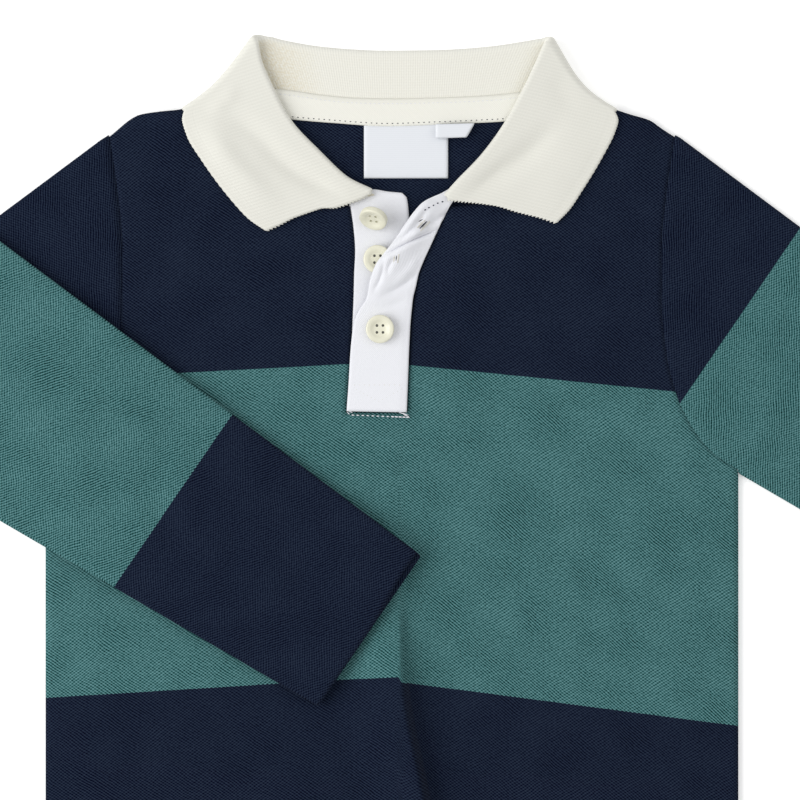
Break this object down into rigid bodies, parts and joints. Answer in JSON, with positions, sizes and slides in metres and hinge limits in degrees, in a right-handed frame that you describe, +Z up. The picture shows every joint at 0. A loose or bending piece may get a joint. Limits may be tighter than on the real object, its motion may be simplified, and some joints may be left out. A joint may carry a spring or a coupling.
{
  "type": "child's pique polo shirt",
  "caption": "Long-sleeved child's polo shirt laid flat, with a rib collar, an open button placket and one sleeve folded across the front.",
  "frame": {"origin": "on the underside of the back panel, on the body's centre line, half way down the body's length", "axes": "+Z up from the surface the shirt lies on, -Y towards the hem, +X towards the sleeve that lies straight out"},
  "size_m": [0.503, 0.3824, 0.0095],
  "materials": {
    "pique_jersey": "matte",
    "rib_knit": "matte",
    "placket_twill": "matte",
    "neck_twill": "matte",
    "satin_label": "satin",
    "resin": "glossy"
  },
  "bodies": {
    "root": {"back": "pique_jersey", "front": "pique_jersey", "sleeve_left": "pique_jersey", "sleeve_right": "pique_jersey", "collar": "rib_knit", "placket_button_side": "placket_twill", "placket_buttonhole_side": "placket_twill", "neck_tape": "neck_twill", "neck_label": "satin_label", "size_tab": "satin_label", "button_1": "resin", "button_2": "resin", "button_3": "resin"}
  },
  "joints": []
}
